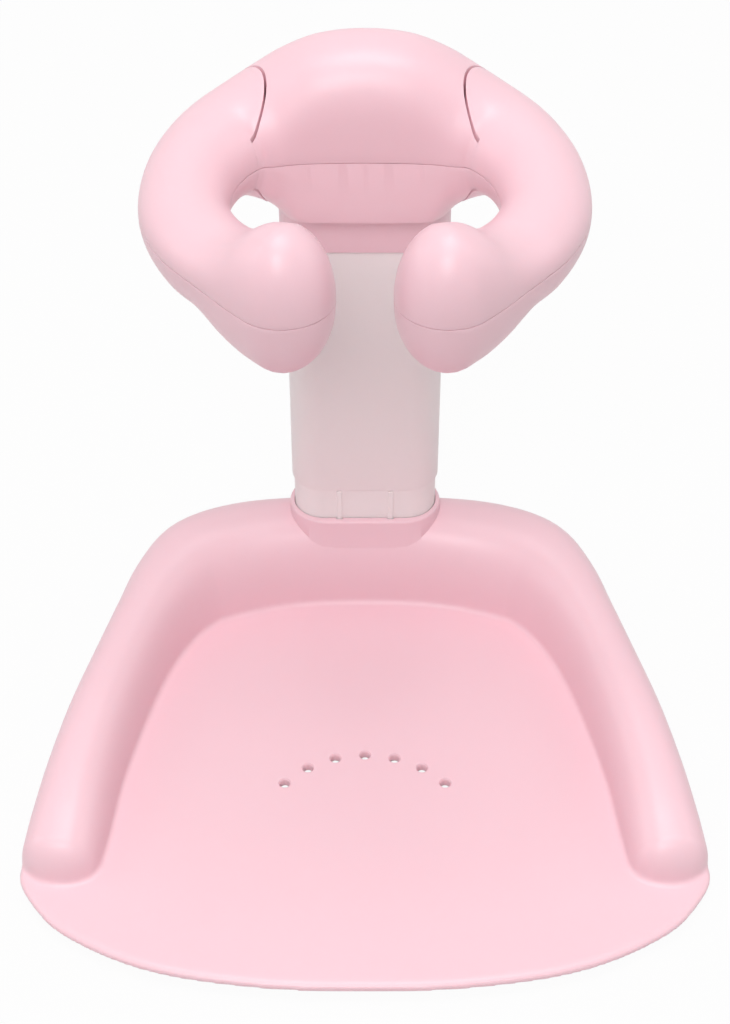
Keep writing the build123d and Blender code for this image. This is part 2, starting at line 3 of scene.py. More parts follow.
import bmesh
import bpy
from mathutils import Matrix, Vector


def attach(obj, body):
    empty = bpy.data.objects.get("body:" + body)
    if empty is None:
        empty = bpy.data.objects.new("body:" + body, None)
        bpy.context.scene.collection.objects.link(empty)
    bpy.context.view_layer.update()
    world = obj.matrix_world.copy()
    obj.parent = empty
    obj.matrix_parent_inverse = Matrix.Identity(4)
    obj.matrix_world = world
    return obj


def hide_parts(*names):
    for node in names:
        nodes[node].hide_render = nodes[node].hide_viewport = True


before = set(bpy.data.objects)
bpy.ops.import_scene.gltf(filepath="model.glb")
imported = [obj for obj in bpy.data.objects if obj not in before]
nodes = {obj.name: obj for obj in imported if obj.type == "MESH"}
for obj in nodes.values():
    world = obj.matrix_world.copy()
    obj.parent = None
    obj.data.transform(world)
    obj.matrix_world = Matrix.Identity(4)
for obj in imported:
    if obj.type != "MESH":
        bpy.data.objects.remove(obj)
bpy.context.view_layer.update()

# Studio: a pale floor, a large soft lamp overhead, one in front and a weaker one at each side.
# The camera stands in front of the tray and looks down on it at the photograph's angle.

bpy.context.scene.view_settings.view_transform = "Standard"


def shader(name):
    """A new material with an empty node tree; gives the material, its nodes and its links."""
    made = bpy.data.materials.new(name)
    made.use_nodes = True
    made.node_tree.nodes.clear()
    return made, made.node_tree.nodes, made.node_tree.links


def plain_rays(tree_nodes, links):
    """A mask of the rays that show the backdrop as it is: straight, mirrored or through glass."""
    path = tree_nodes.new("ShaderNodeLightPath")
    total = path.outputs["Is Camera Ray"]
    for ray in ("Is Glossy Ray", "Is Transmission Ray"):
        add = tree_nodes.new("ShaderNodeMath")
        add.operation = "MAXIMUM"
        links.new(total, add.inputs[0])
        links.new(path.outputs[ray], add.inputs[1])
        total = add.outputs[0]
    return total


room_base, room_above, room_beside = 0.15, 0.28, 0.10
room_colour = (1.0, 0.985, 0.98, 1)
world = bpy.data.worlds.new("studio")
bpy.context.scene.world = world
world.use_nodes = True
tree, wires = world.node_tree.nodes, world.node_tree.links
tree.clear()
room_light = tree.new("ShaderNodeBackground")
room_light.inputs["Color"].default_value = room_colour
direction = tree.new("ShaderNodeTexCoord")
parts = tree.new("ShaderNodeSeparateXYZ")
wires.new(direction.outputs["Generated"], parts.inputs[0])
beside = tree.new("ShaderNodeMath")
beside.operation = "ABSOLUTE"
wires.new(parts.outputs["X"], beside.inputs[0])
above = tree.new("ShaderNodeMath")
above.operation = "MAXIMUM"
above.inputs[1].default_value = 0.0
wires.new(parts.outputs["Z"], above.inputs[0])
risen = tree.new("ShaderNodeMath")
risen.operation = "MULTIPLY_ADD"
risen.inputs[1].default_value = room_above
risen.inputs[2].default_value = room_base
wires.new(above.outputs[0], risen.inputs[0])
strength = tree.new("ShaderNodeMath")
strength.operation = "MULTIPLY_ADD"
strength.inputs[1].default_value = room_beside
wires.new(beside.outputs[0], strength.inputs[0])
wires.new(risen.outputs[0], strength.inputs[2])
wires.new(strength.outputs[0], room_light.inputs["Strength"])
white = tree.new("ShaderNodeBackground")
white.inputs["Color"].default_value = (1, 1, 1, 1)
pick = tree.new("ShaderNodeMixShader")
wires.new(plain_rays(tree, wires), pick.inputs["Fac"])
wires.new(room_light.outputs[0], pick.inputs[1])
wires.new(white.outputs[0], pick.inputs[2])
wires.new(pick.outputs[0], tree.new("ShaderNodeOutputWorld").inputs[0])

floor_half = 3.0
floor_grey = (0.62, 0.61, 0.61, 1)
floor_glow_share = 0.95
floor_mesh = bpy.data.meshes.new("studio_floor")
floor_mesh.from_pydata(
    [(x * floor_half, y * floor_half, 0) for x, y in ((-1, -1), (1, -1), (1, 1), (-1, 1))],
    [], [(0, 1, 2, 3)])
floor = bpy.data.objects.new("studio_floor", floor_mesh)
bpy.context.scene.collection.objects.link(floor)
floor_paint, tree, wires = shader("white_floor")
matt = tree.new("ShaderNodeBsdfDiffuse")
matt.inputs["Color"].default_value = floor_grey
glow = tree.new("ShaderNodeEmission")
glow.inputs["Strength"].default_value = 1.0
share = tree.new("ShaderNodeMath")
share.operation = "MULTIPLY"
share.inputs[1].default_value = floor_glow_share
wires.new(plain_rays(tree, wires), share.inputs[0])
blend = tree.new("ShaderNodeMixShader")
wires.new(share.outputs[0], blend.inputs["Fac"])
wires.new(matt.outputs[0], blend.inputs[1])
wires.new(glow.outputs[0], blend.inputs[2])
wires.new(blend.outputs[0], tree.new("ShaderNodeOutputMaterial").inputs["Surface"])
floor_mesh.materials.append(floor_paint)

for lamp_name, place, aim, size, watts in (
    ("top_lamp", (0.0, 0.2, 4.5), (0, 0, 0.15), 2.6, 86),
    ("front_lamp", (-0.6, -3.6, 4.0), (0, 0, 0.15), 2.4, 120),
    ("left_lamp", (-1.8, 0.1, 1.1), (0, 0, 0.2), 1.4, 5),
    ("right_lamp", (1.8, 0.2, 1.3), (0, 0, 0.2), 1.4, 5),
):
    lamp = bpy.data.lights.new(lamp_name, "AREA")
    lamp.shape = "DISK"
    lamp.size = size
    lamp.energy = watts
    stand = bpy.data.objects.new(lamp_name, lamp)
    stand.location = place
    stand.rotation_euler = (Vector(aim) - Vector(place)).to_track_quat("-Z", "Y").to_euler()
    bpy.context.scene.collection.objects.link(stand)

camera_place = (0.0, -0.699, 0.805)
camera_tilt = 42.0
picture_height = 1024
focal_pixels = 1930
camera = bpy.data.objects.new("camera", bpy.data.cameras.new("camera"))
camera.data.sensor_fit = "VERTICAL"
camera.data.sensor_height = 36.0
camera.data.lens = camera.data.sensor_height * focal_pixels / picture_height
camera.location = camera_place
camera.rotation_euler = (radians(90 - camera_tilt), 0, 0)
bpy.context.scene.collection.objects.link(camera)
bpy.context.scene.camera = camera

# Seat base: one pink moulding, a flat plate with a raised rim round its back and sides, a
# socket for the post in the middle of the back, seven bevelled drain holes and a hollow underside.

tray_width, tray_depth = 353.0, 320.0
half_width, half_depth = tray_width / 2, tray_depth / 2
plate_low, plate_top = 6.0, 11.0
rim_wall = 3.0
rim_power = 2.5
rim_nose = 15.0
rim_line = [
    (0.000, 0.825, 0.317, 50.0), (0.217, 0.819, 0.326, 49.33), (0.414, 0.784, 0.346, 48.67),
    (0.555, 0.711, 0.335, 48.0), (0.638, 0.591, 0.284, 44.88), (0.696, 0.443, 0.238, 41.5),
    (0.748, 0.267, 0.221, 38.25), (0.807, 0.013, 0.225, 35.0), (0.847, -0.221, 0.228, 31.0),
    (0.868, -0.412, 0.235, 27.0), (0.880, -0.525, 0.233, 23.0),
]
front_edge = [(0.998, -0.560), (0.965, -0.660), (0.855, -0.793), (0.610, -0.925), (0.288, -0.989)]
rim_under_plate = 8.0
rim_skirt = 4.0
row_gap, outline_gap = 4.0, 3.0
voxel, ease_factor, ease_rounds = 0.0014, 0.5, 6
cup_boss = 15.0
cup_shares = ((0.880, -0.470), (0.560, 0.700))
socket_y, socket_top, socket_floor = 132.5, 67.5, 8.5
sleeve_length, sleeve_depth = 86.0, 42.8
bore_length, bore_depth = 81.1, 34.8
window_half, window_low, window_high = 5.5, 19.5, 51.5
rib_x, groove_half, groove_front, groove_low = 14.5, 1.8, 113.95, 9.0
drain_count, drain_step, drain_hole = 7, 16.4, 6.8
drain_radius, drain_y = 56.4, -69.4
socket_drain = 8.0
beyond_back, beyond_top = 175.0, 90.0


def evenly_spaced(rows, gap):
    """Rows at even steps of a smooth line through the given ones: x and y first, then sizes."""
    run = [0.0]
    for before, after in zip(rows, rows[1:]):
        run.append(run[-1] + hypot(after[0] - before[0], after[1] - before[1]))
    last = len(rows) - 1
    slopes = []
    for place in range(last + 1):
        low, high = max(place - 1, 0), min(place + 1, last)
        slopes.append([(b - a) / (run[high] - run[low]) for a, b in zip(rows[low], rows[high])])
    count = 2 * round(run[-1] / gap / 2)
    spaced = []
    for step in range(count + 1):
        at = run[-1] * step / count
        place = max(index for index in range(last) if run[index] <= at + 1e-9)
        span = run[place + 1] - run[place]
        t = (at - run[place]) / span
        ease = 3 * t**2 - 2 * t**3
        leave, meet = t * (1 - t) ** 2 * span, t**2 * (1 - t) * span
        pairs = zip(rows[place], rows[place + 1], slopes[place], slopes[place + 1])
        spaced.append(tuple(a + (b - a) * ease + p * leave - q * meet for a, b, p, q in pairs))
    return spaced


def right_half(line, gap):
    """The right half of a line that mirrors itself at x = 0, with its heading at each row."""
    rows = evenly_spaced([(-x, *rest) for x, *rest in line[:0:-1]] + line, gap)
    headed = []
    for place, row in enumerate(rows):
        before, after = rows[max(place - 1, 0)], rows[min(place + 1, len(rows) - 1)]
        length = hypot(after[0] - before[0], after[1] - before[1])
        heading = ((after[0] - before[0]) / length, (after[1] - before[1]) / length)
        headed.append((row[0], row[1], heading, *row[2:]))
    return headed[len(headed) // 2:]


def round_end(row, length, steps=10):
    """Rows past the last one that close in a round end."""
    x, y, heading, wide, rise, power = row
    rows = []
    for step in range(1, steps + 1):
        share = min(sin(pi / 2 * step / steps), 0.998)
        shrink = sqrt(1 - share**2)
        along = length * share
        rows.append((x + heading[0] * along, y + heading[1] * along, heading,
                     wide * shrink, rise * shrink, power))
    return rows


def with_left(rows):
    """The rows of a right half with their mirrored copies before them."""
    left = [(-x, y, (h[0], -h[1]), *rest) for x, y, h, *rest in rows[:0:-1]]
    return left + rows


def solid(name, points, faces):
    """A mesh object from points in millimetres, with all its faces turned outwards."""
    mesh = bpy.data.meshes.new(name)
    mesh.from_pydata([(x / 1000, y / 1000, z / 1000) for x, y, z in points], [], faces)
    work = bmesh.new()
    work.from_mesh(mesh)
    bmesh.ops.recalc_face_normals(work, faces=work.faces)
    work.to_mesh(mesh)
    work.free()
    made = bpy.data.objects.new(name, mesh)
    bpy.context.scene.collection.objects.link(made)
    return made


def rings_joined(name, rings, closed=False):
    """A solid through equal rings of points, capped at both ends, or closed on itself."""
    around = len(rings[0])
    faces = []
    pairs = list(zip(range(len(rings)), range(1, len(rings))))
    if closed:
        pairs.append((len(rings) - 1, 0))
    for near, far in pairs:
        for place in range(around):
            after = (place + 1) % around
            faces.append((near * around + place, near * around + after,
                          far * around + after, far * around + place))
    if not closed:
        faces.append(tuple(range(around)))
        faces.append(tuple(range((len(rings) - 1) * around, len(rings) * around)))
    return solid(name, [point for ring in rings for point in ring], faces)


def arched(name, rows, level, skirt=0.0, steps=44):
    """A solid along the rows: over a flat foot stands a round or squarish arch."""
    rings = []
    for x, y, heading, wide, rise, power in rows:
        ring = []
        for step in range(steps + 1):
            angle = pi * step / steps
            reach = abs(cos(angle)) ** (2 / power) * wide * (1 if cos(angle) > 0 else -1)
            lift = abs(sin(angle)) ** (2 / power) * rise
            ring.append((x + heading[1] * reach, y - heading[0] * reach, level + lift))
        if skirt:
            foot = level - skirt * (1 if rise > 0 else -1)
            ring += [(*ring[-1][:2], foot), (*ring[0][:2], foot)]
        rings.append(ring)
    return rings_joined(name, rings)


def outline_of(points):
    """Each point of a closed plan outline with the direction that leads inwards from it."""
    area = sum(a[0] * b[1] - b[0] * a[1] for a, b in zip(points, points[1:] + points[:1]))
    way = 1 if area > 0 else -1
    found = []
    for place, (x, y) in enumerate(points):
        before, after = points[place - 1], points[(place + 1) % len(points)]
        run = (after[0] - before[0], after[1] - before[1])
        length = hypot(*run)
        found.append((x, y, -way * run[1] / length, way * run[0] / length))
    return found


def plate_like(name, points, profile):
    """An upright solid on a plan outline; the profile gives insets and heights, low to high."""
    outline = outline_of(points)
    rings = [[(x + inset * u, y + inset * v, z) for x, y, u, v in outline] for inset, z in profile]
    return rings_joined(name, rings)


def stadium(length, depth, y, steps=24):
    """Plan outline of a bar with half-round ends, lying along X."""
    radius = depth / 2
    points = []
    for side, start in ((1, -90), (-1, 90)):
        for step in range(steps + 1):
            angle = radians(start + 180 * step / steps)
            points.append((side * (length / 2 - radius) + radius * cos(angle), y + radius * sin(angle)))
    return points


def circle(x, y, diameter, steps=48):
    return [(x + diameter / 2 * cos(2 * pi * k / steps), y + diameter / 2 * sin(2 * pi * k / steps))
            for k in range(steps)]


def settled(made):
    """Replaces an object's mesh by what its modifiers make of it."""
    graph = bpy.context.evaluated_depsgraph_get()
    mesh = bpy.data.meshes.new_from_object(made.evaluated_get(graph))
    made.modifiers.clear()
    made.data = mesh
    return made


def combined(made, operation, *others):
    """Joins, cuts or trims a solid with others, which are used up."""
    for other in others:
        join = made.modifiers.new("join", "BOOLEAN")
        join.operation = operation
        join.solver = "EXACT"
        join.object = other
        settled(made)
        bpy.data.objects.remove(other)
    return made


def shaded(made, sharp=35.0):
    """Smooth shading that stops at edges."""
    made.data.shade_smooth()
    made.data.set_sharp_from_angle(angle=radians(sharp))
    return made


def softened(made, width, limit=40.0):
    """A narrow round on every edge sharper than the limit, as a mould leaves it."""
    round_off = made.modifiers.new("round", "BEVEL")
    round_off.width = width / 1000
    round_off.segments = 2
    round_off.limit_method = "ANGLE"
    round_off.angle_limit = radians(limit)
    return settled(made)


def rim_rows(inset):
    line = [(x * half_width, y * half_depth, wide * half_width / 2 - inset,
             plate_top - plate_low + height - inset, rim_power) for x, y, wide, height in rim_line]
    rows = right_half(line, row_gap)
    return with_left(rows + round_end(rows[-1], rim_nose - inset))


hidden = []
for place, (x, y, wide, height) in enumerate(rim_line[:-1]):
    before, after = rim_line[max(place - 1, 0)], rim_line[place + 1]
    run = ((after[0] - before[0]) * half_width, (after[1] - before[1]) * half_depth)
    reach = wide * half_width / 2 - rim_under_plate
    hidden.append((x * half_width - run[1] / hypot(*run) * reach,
                   y * half_depth + run[0] / hypot(*run) * reach))
right_edge = hidden[1:] + [(x * half_width, y * half_depth) for x, y in front_edge]
plate_line = ([(0.0, hidden[0][1])] + right_edge + [(0.0, -half_depth)]
              + [(-x, y) for x, y in right_edge[::-1]] + [(0.0, hidden[0][1])])
plate_points = evenly_spaced(plate_line, outline_gap)[:-1]
seat_base = plate_like("seat_base_moulding", plate_points, [
    (0.8, plate_low), (0.0, plate_low + 0.8), (0.0, plate_top - 2.0), (0.15, plate_top - 1.2),
    (0.6, plate_top - 0.6), (1.2, plate_top - 0.15), (2.0, plate_top)])
socket_sleeve = plate_like("sleeve", stadium(sleeve_length, sleeve_depth, socket_y), [
    (-4.0, plate_low), (-4.0, plate_top - 0.3), (-2.0, plate_top + 0.3), (-0.8, plate_top + 1.2),
    (-0.2, plate_top + 2.4), (0.0, plate_top + 4.0), (0.0, socket_top - 1.2),
    (0.35, socket_top - 0.4), (1.1, socket_top)])
combined(seat_base, "UNION", arched("rim", rim_rows(0), plate_low))
remesh = seat_base.modifiers.new("even", "REMESH")
remesh.mode = "VOXEL"
remesh.voxel_size = voxel
ease = seat_base.modifiers.new("ease", "SMOOTH")
ease.factor = ease_factor
ease.iterations = ease_rounds
settled(seat_base)
combined(seat_base, "UNION", socket_sleeve)

hollow = arched("hollow", rim_rows(rim_wall), plate_low, skirt=rim_skirt)
for x, y in [(side * x * half_width, y * half_depth) for x, y in cup_shares for side in (-1, 1)]:
    boss = plate_like("boss", circle(x, y, cup_boss), [(0, -5), (0, beyond_top)])
    combined(hollow, "DIFFERENCE", boss)
combined(seat_base, "DIFFERENCE", hollow)


def cut_base(name, points, low, high):
    """Cuts an upright hole with a plan outline from the base, between two heights."""
    combined(seat_base, "DIFFERENCE", plate_like(name, points, [(0, low), (0, high)]))


def box_plan(left, right, front, back):
    return [(left, front), (right, front), (right, back), (left, back)]


cut_base("bore", stadium(bore_length, bore_depth, socket_y), socket_floor, socket_top + 5)
cut_base("window", box_plan(-window_half, window_half, socket_y, beyond_back), window_low, window_high)
for side in (-1, 1):
    x = side * rib_x
    groove = box_plan(x - groove_half, x + groove_half, groove_front, socket_y)
    cut_base("groove", groove, groove_low, socket_top + 5)
for place in range(drain_count):
    angle = radians(90 + drain_step * (place - (drain_count - 1) / 2))
    spot = (drain_radius * cos(angle), drain_y + drain_radius * sin(angle))
    drain = plate_like("drain", circle(*spot, drain_hole, 32), [
        (0.8, 0), (0.8, plate_top - 0.9), (0.5, plate_top - 0.4), (0.0, plate_top),
        (-0.4, plate_top + 2)])
    combined(seat_base, "DIFFERENCE", drain)
cut_base("socket_drain", circle(0, socket_y, socket_drain), 0, plate_top)
shaded(seat_base, 50.0)


def grain_group():
    """Moulded plastic's own unevenness: a slow drift of tone, a fine orange-peel grain."""
    group = bpy.data.node_groups.new("moulded_grain", "ShaderNodeTree")
    face = group.interface
    for name, kind, value in (
        ("Colour", "NodeSocketColor", (0.8, 0.8, 0.8, 1)),
        ("Drift", "NodeSocketColor", (0.7, 0.7, 0.7, 1)),
        ("Drift Share", "NodeSocketFloat", 0.2), ("Grain Scale", "NodeSocketFloat", 900.0),
        ("Roughness", "NodeSocketFloat", 0.4), ("Roughness Spread", "NodeSocketFloat", 0.08),
    ):
        face.new_socket(name, in_out="INPUT", socket_type=kind).default_value = value
    for name, kind in (("Colour", "NodeSocketColor"), ("Roughness", "NodeSocketFloat"),
                       ("Height", "NodeSocketFloat")):
        face.new_socket(name, in_out="OUTPUT", socket_type=kind)
    tree, wires = group.nodes, group.links
    given = tree.new("NodeGroupInput")
    out = tree.new("NodeGroupOutput")
    where = tree.new("ShaderNodeTexCoord")
    slow = tree.new("ShaderNodeTexNoise")
    slow.inputs["Scale"].default_value = 14.0
    slow.inputs["Detail"].default_value = 3.0
    fine = tree.new("ShaderNodeTexNoise")
    fine.inputs["Detail"].default_value = 2.0
    streak = tree.new("ShaderNodeTexNoise")
    streak.inputs["Scale"].default_value = 120.0
    streak.inputs["Detail"].default_value = 5.0
    for noise in (slow, fine, streak):
        wires.new(where.outputs["Object"], noise.inputs["Vector"])
    wires.new(given.outputs["Grain Scale"], fine.inputs["Scale"])
    strength = tree.new("ShaderNodeMath")
    strength.operation = "MULTIPLY"
    wires.new(slow.outputs["Fac"], strength.inputs[0])
    wires.new(given.outputs["Drift Share"], strength.inputs[1])
    tint = tree.new("ShaderNodeMix")
    tint.data_type = "RGBA"
    wires.new(strength.outputs[0], tint.inputs["Factor"])
    wires.new(given.outputs["Colour"], tint.inputs["A"])
    wires.new(given.outputs["Drift"], tint.inputs["B"])
    wires.new(tint.outputs["Result"], out.inputs["Colour"])
    spread = tree.new("ShaderNodeMath")
    spread.operation = "MULTIPLY_ADD"
    wires.new(streak.outputs["Fac"], spread.inputs[0])
    wires.new(given.outputs["Roughness Spread"], spread.inputs[1])
    wires.new(given.outputs["Roughness"], spread.inputs[2])
    wires.new(spread.outputs[0], out.inputs["Roughness"])
    wires.new(fine.outputs["Fac"], out.inputs["Height"])
    return group


moulded_grain = grain_group()


def plastic(name, colour, drift, rough, share=0.25, spread=0.08, grain=900.0, depth=0.00002,
            subsurface=0.0, coat=0.0):
    """A moulded plastic: its colour, the tone it drifts to, and how smooth its skin is."""
    made, tree, wires = shader(name)
    grained = tree.new("ShaderNodeGroup")
    grained.node_tree = moulded_grain
    for socket, value in (("Colour", (*colour, 1)), ("Drift", (*drift, 1)), ("Drift Share", share),
                          ("Grain Scale", grain), ("Roughness", rough), ("Roughness Spread", spread)):
        grained.inputs[socket].default_value = value
    skin = tree.new("ShaderNodeBsdfPrincipled")
    skin.inputs["IOR"].default_value = 1.48
    skin.inputs["Subsurface Weight"].default_value = subsurface
    skin.inputs["Subsurface Radius"].default_value = (0.004, 0.002, 0.0018)
    skin.inputs["Subsurface Scale"].default_value = 1.0
    skin.inputs["Coat Weight"].default_value = coat
    skin.inputs["Coat Roughness"].default_value = 0.3
    bump = tree.new("ShaderNodeBump")
    bump.inputs["Strength"].default_value = 0.5
    bump.inputs["Distance"].default_value = depth
    wires.new(grained.outputs["Colour"], skin.inputs["Base Color"])
    wires.new(grained.outputs["Roughness"], skin.inputs["Roughness"])
    wires.new(grained.outputs["Height"], bump.inputs["Height"])
    wires.new(bump.outputs["Normal"], skin.inputs["Normal"])
    wires.new(skin.outputs[0], tree.new("ShaderNodeOutputMaterial").inputs["Surface"])
    return made


def dressed(made, material):
    """Gives an object one material in place of what it had."""
    made.data.materials.clear()
    made.data.materials.append(material)


pink_colour, pink_drift = (0.86, 0.575, 0.635), (0.82, 0.51, 0.58)
pink = plastic("satin_pink_plastic", pink_colour, pink_drift, 0.34, subsurface=0.12)
dressed(seat_base, pink)
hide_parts("seat_base")
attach(seat_base, "base")

# Suction cups: four soft clear-white cups with a thin lip, each pushed by its stud into a boss
# under the rim. Only their edges show, low at the sides and from below.

cup_rubber = plastic("milky_cup_rubber", (0.80, 0.77, 0.76), (0.70, 0.66, 0.65), 0.30,
                     share=0.4, subsurface=0.3, grain=400.0, depth=0.00005)
for end in ("front", "rear"):
    for side in ("left", "right"):
        dressed(nodes[f"suction_cup_{end}_{side}"], cup_rubber)

# Post: an off-white moulded tube with half-round edges. Above a small step it is thicker; the
# thinner tongue below it goes into the socket, with two ribs that reach up to the step.

post_length, post_depth = 82.6, 36.3
tongue_length = 80.3
post_step = 88.5
post_low, post_high = 32.0, 305.0
rib_half, rib_top_half, rib_stand = 1.4, 1.1, 0.25
rib_top = post_step - 1.2
rib_root = 14.0
step_inset = (post_length - tongue_length) / 2
post = plate_like("post_tube", stadium(post_length, post_depth, socket_y, 32), [
    (step_inset + 0.6, post_low), (step_inset, post_low + 0.6), (step_inset, post_step - 0.4),
    (step_inset - 0.2, post_step - 0.1), (0.6, post_step), (0.15, post_step + 0.2),
    (0.0, post_step + 0.7), (0.0, post_high - 0.6), (0.6, post_high)])
for side in (-1, 1):
    x = side * rib_x
    front, root = socket_y - post_depth / 2, socket_y - rib_root
    rib = [(x - rib_half, front + rib_stand), (x - rib_top_half, front), (x + rib_top_half, front),
           (x + rib_half, front + rib_stand), (x + rib_half, root), (x - rib_half, root)]
    combined(post, "UNION", plate_like("rib", rib, [
        (0, post_low), (0, rib_top - 0.2), (0.25, rib_top)]))
shaded(post, 30.0)
white_colour, white_drift = (0.88, 0.81, 0.81), (0.83, 0.76, 0.76)
post_white = plastic("off_white_plastic", white_colour, white_drift, 0.42, subsurface=0.08)
dressed(post, post_white)
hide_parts("post")
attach(post, "post")
dressed(nodes["post_foot"], post_white)

# Catch: a white push button in the back of the post, held out by a coil spring of drawn wire.
# It looks out of the upright window in the back of the socket.

catch_white = plastic("white_catch_plastic", (0.84, 0.80, 0.79), (0.78, 0.74, 0.73), 0.35)
dressed(nodes["catch_button"], catch_white)


wire_lines = 900.0


def steel(name, colour, rough, stretch):
    """Drawn or ground steel: fine lines along one way, with a little unevenness between them."""
    made, tree, wires = shader(name)
    where = tree.new("ShaderNodeTexCoord")
    scale = tree.new("ShaderNodeMapping")
    scale.inputs["Scale"].default_value = stretch
    lines = tree.new("ShaderNodeTexNoise")
    lines.inputs["Scale"].default_value = wire_lines
    lines.inputs["Detail"].default_value = 4.0
    tone = tree.new("ShaderNodeValToRGB")
    tone.color_ramp.elements[0].color = (*[c * 0.82 for c in colour], 1)
    tone.color_ramp.elements[1].color = (*colour, 1)
    level = tree.new("ShaderNodeMapRange")
    level.inputs["To Min"].default_value = rough - 0.06
    level.inputs["To Max"].default_value = rough + 0.08
    bump = tree.new("ShaderNodeBump")
    bump.inputs["Strength"].default_value = 0.3
    bump.inputs["Distance"].default_value = 0.00002
    skin = tree.new("ShaderNodeBsdfPrincipled")
    skin.inputs["Metallic"].default_value = 1.0
    wires.new(where.outputs["Object"], scale.inputs["Vector"])
    wires.new(scale.outputs["Vector"], lines.inputs["Vector"])
    wires.new(lines.outputs["Fac"], tone.inputs["Fac"])
    wires.new(lines.outputs["Fac"], level.inputs["Value"])
    wires.new(lines.outputs["Fac"], bump.inputs["Height"])
    wires.new(tone.outputs["Color"], skin.inputs["Base Color"])
    wires.new(level.outputs["Result"], skin.inputs["Roughness"])
    wires.new(bump.outputs["Normal"], skin.inputs["Normal"])
    wires.new(skin.outputs[0], tree.new("ShaderNodeOutputMaterial").inputs["Surface"])
    return made


drawn_wire = steel("drawn_spring_steel", (0.60, 0.61, 0.62), 0.32, (1, 0.1, 1))
dressed(nodes["catch_spring"], drawn_wire)

# Head: the fixed middle of the bow, two pink shells that meet on a level seam. It has a flat
# bottom with slanted flanks, a collar round the post, and a round recess at each end for an arm.

seam_z = 311.0
bow_size = {"head": (31.0, 50.0, 42.0), "arm": (21.5, 21.5, 21.5), "tip": (23.5, 36.5, 36.5)}
bow_line = [
    ((0.0, 130.0), "head", 1.00, 1.00, 1.00, 2.5, 7.0),
    ((22.0, 129.5), "head", 1.00, 0.95, 1.00, 2.5, 6.0),
    ((38.0, 127.5), "head", 0.98, 0.82, 0.98, 2.4, 4.5),
    ((52.0, 123.0), "head", 0.95, 0.65, 0.74, 2.2, 2.8),
    ((65.5, 114.5), "arm", 1.23, 1.22, 1.12, 2.1, 2.2),
    ((75.0, 101.5), "arm", 1.13, 1.12, 1.01, 2.0, 2.0),
    ((81.5, 85.0), "arm", 1.05, 1.02, 1.06, 2.0, 2.0),
    ((84.0, 66.0), "arm", 1.00, 0.90, 1.11, 2.0, 2.0),
    ((82.0, 48.0), "arm", 0.98, 0.82, 1.18, 2.0, 2.0),
    ((74.0, 30.0), "arm", 0.97, 0.78, 1.22, 2.0, 2.0),
    ((63.5, 16.5), "arm", 0.97, 0.80, 1.22, 2.0, 2.0),
    ((53.5, 5.5), "tip", 0.91, 0.62, 0.90, 2.1, 2.1),
    ((44.5, -3.5), "tip", 0.96, 0.88, 0.98, 2.1, 2.1),
    ((36.0, -11.0), "tip", 1.00, 1.00, 1.00, 2.1, 2.1),
]
pivot = (78.0, 115.0)
knuckle_radius, knuckle_gap = 30.2, 1.2
seam_gap = 0.2
screw_pocket = 6.8
slot_low, slot_high = seam_z - 7.0, seam_z + 7.0
split_turn = radians(-51.5)
limb_start, limb_knee, limb_half = (28.0, 120.5), (47.0, 108.0), 5.5
head_bottom, head_flank, head_high = 276.0, 287.0, 330.0
head_bottom_half, head_flank_half = 40.0, 49.0
head_front = 55.0
collar_length, collar_depth = 87.6, 41.3
collar_low, collar_high = 250.5, 285.0
sleeve_bore_length, sleeve_bore_depth = 82.9, 36.6
head_screws, head_pocket_top = ((22.0, 106.5), (50.0, 143.0)), 284.0
edge_round = 0.35
below, above_all = 200.0, 420.0


def bow_rows(side):
    """Right half of the bow's upper (1) or lower (-1) half, from the middle to the tip."""
    line = []
    for (x, y), kind, wide, rise, drop, over, under in bow_line:
        width, up, down = bow_size[kind]
        line.append((x, y, wide * width, rise * up if side > 0 else -drop * down,
                     over if side > 0 else under))
    return right_half(line, 2.6)


def beyond_pivot(radius, mirrored=1, steps=72):
    """All that lies on the arm's side of the pivot, with a round shoulder towards the head."""
    far = 400.0
    points = []
    for step in range(steps + 1):
        angle = split_turn + pi / 2 + pi * step / steps
        points.append((pivot[0] + radius * cos(angle), pivot[1] + radius * sin(angle)))
    for out, across in ((0, -far), (far, -far), (far, far), (0, far)):
        points.append((pivot[0] + out * cos(split_turn) - across * sin(split_turn),
                       pivot[1] + out * sin(split_turn) + across * cos(split_turn)))
    points = [(mirrored * x, y) for x, y in points]
    return plate_like("beyond", points, [(0, below), (0, above_all)])


def limb_room(mirrored=1):
    """The slot in the head's wall that the yoke's limb passes through."""
    sides = []
    for (ax, ay), (bx, by) in ((limb_start, limb_knee), (limb_knee, pivot)):
        length = hypot(bx - ax, by - ay)
        sides.append(((by - ay) / length * limb_half, -(bx - ax) / length * limb_half))
    root, outer = sides
    points = []
    for (x, y), (u, v), way in (
        (limb_start, root, 1), (limb_knee, root, 1), (limb_knee, outer, 1), (pivot, outer, 1),
        (pivot, outer, -1), (limb_knee, outer, -1), (limb_start, root, -1),
    ):
        points.append((mirrored * (x + way * u), y + way * v))
    return plate_like("limb", points, [(0, slot_low), (0, slot_high)])


def pocketed(shell, places, top):
    """Cuts the round screw pockets into a lower shell, from below up to the screws' heads."""
    for x, y in places:
        pocket = plate_like("pocket", circle(x, y, screw_pocket), [(0, below), (0, top)])
        combined(shell, "DIFFERENCE", pocket)


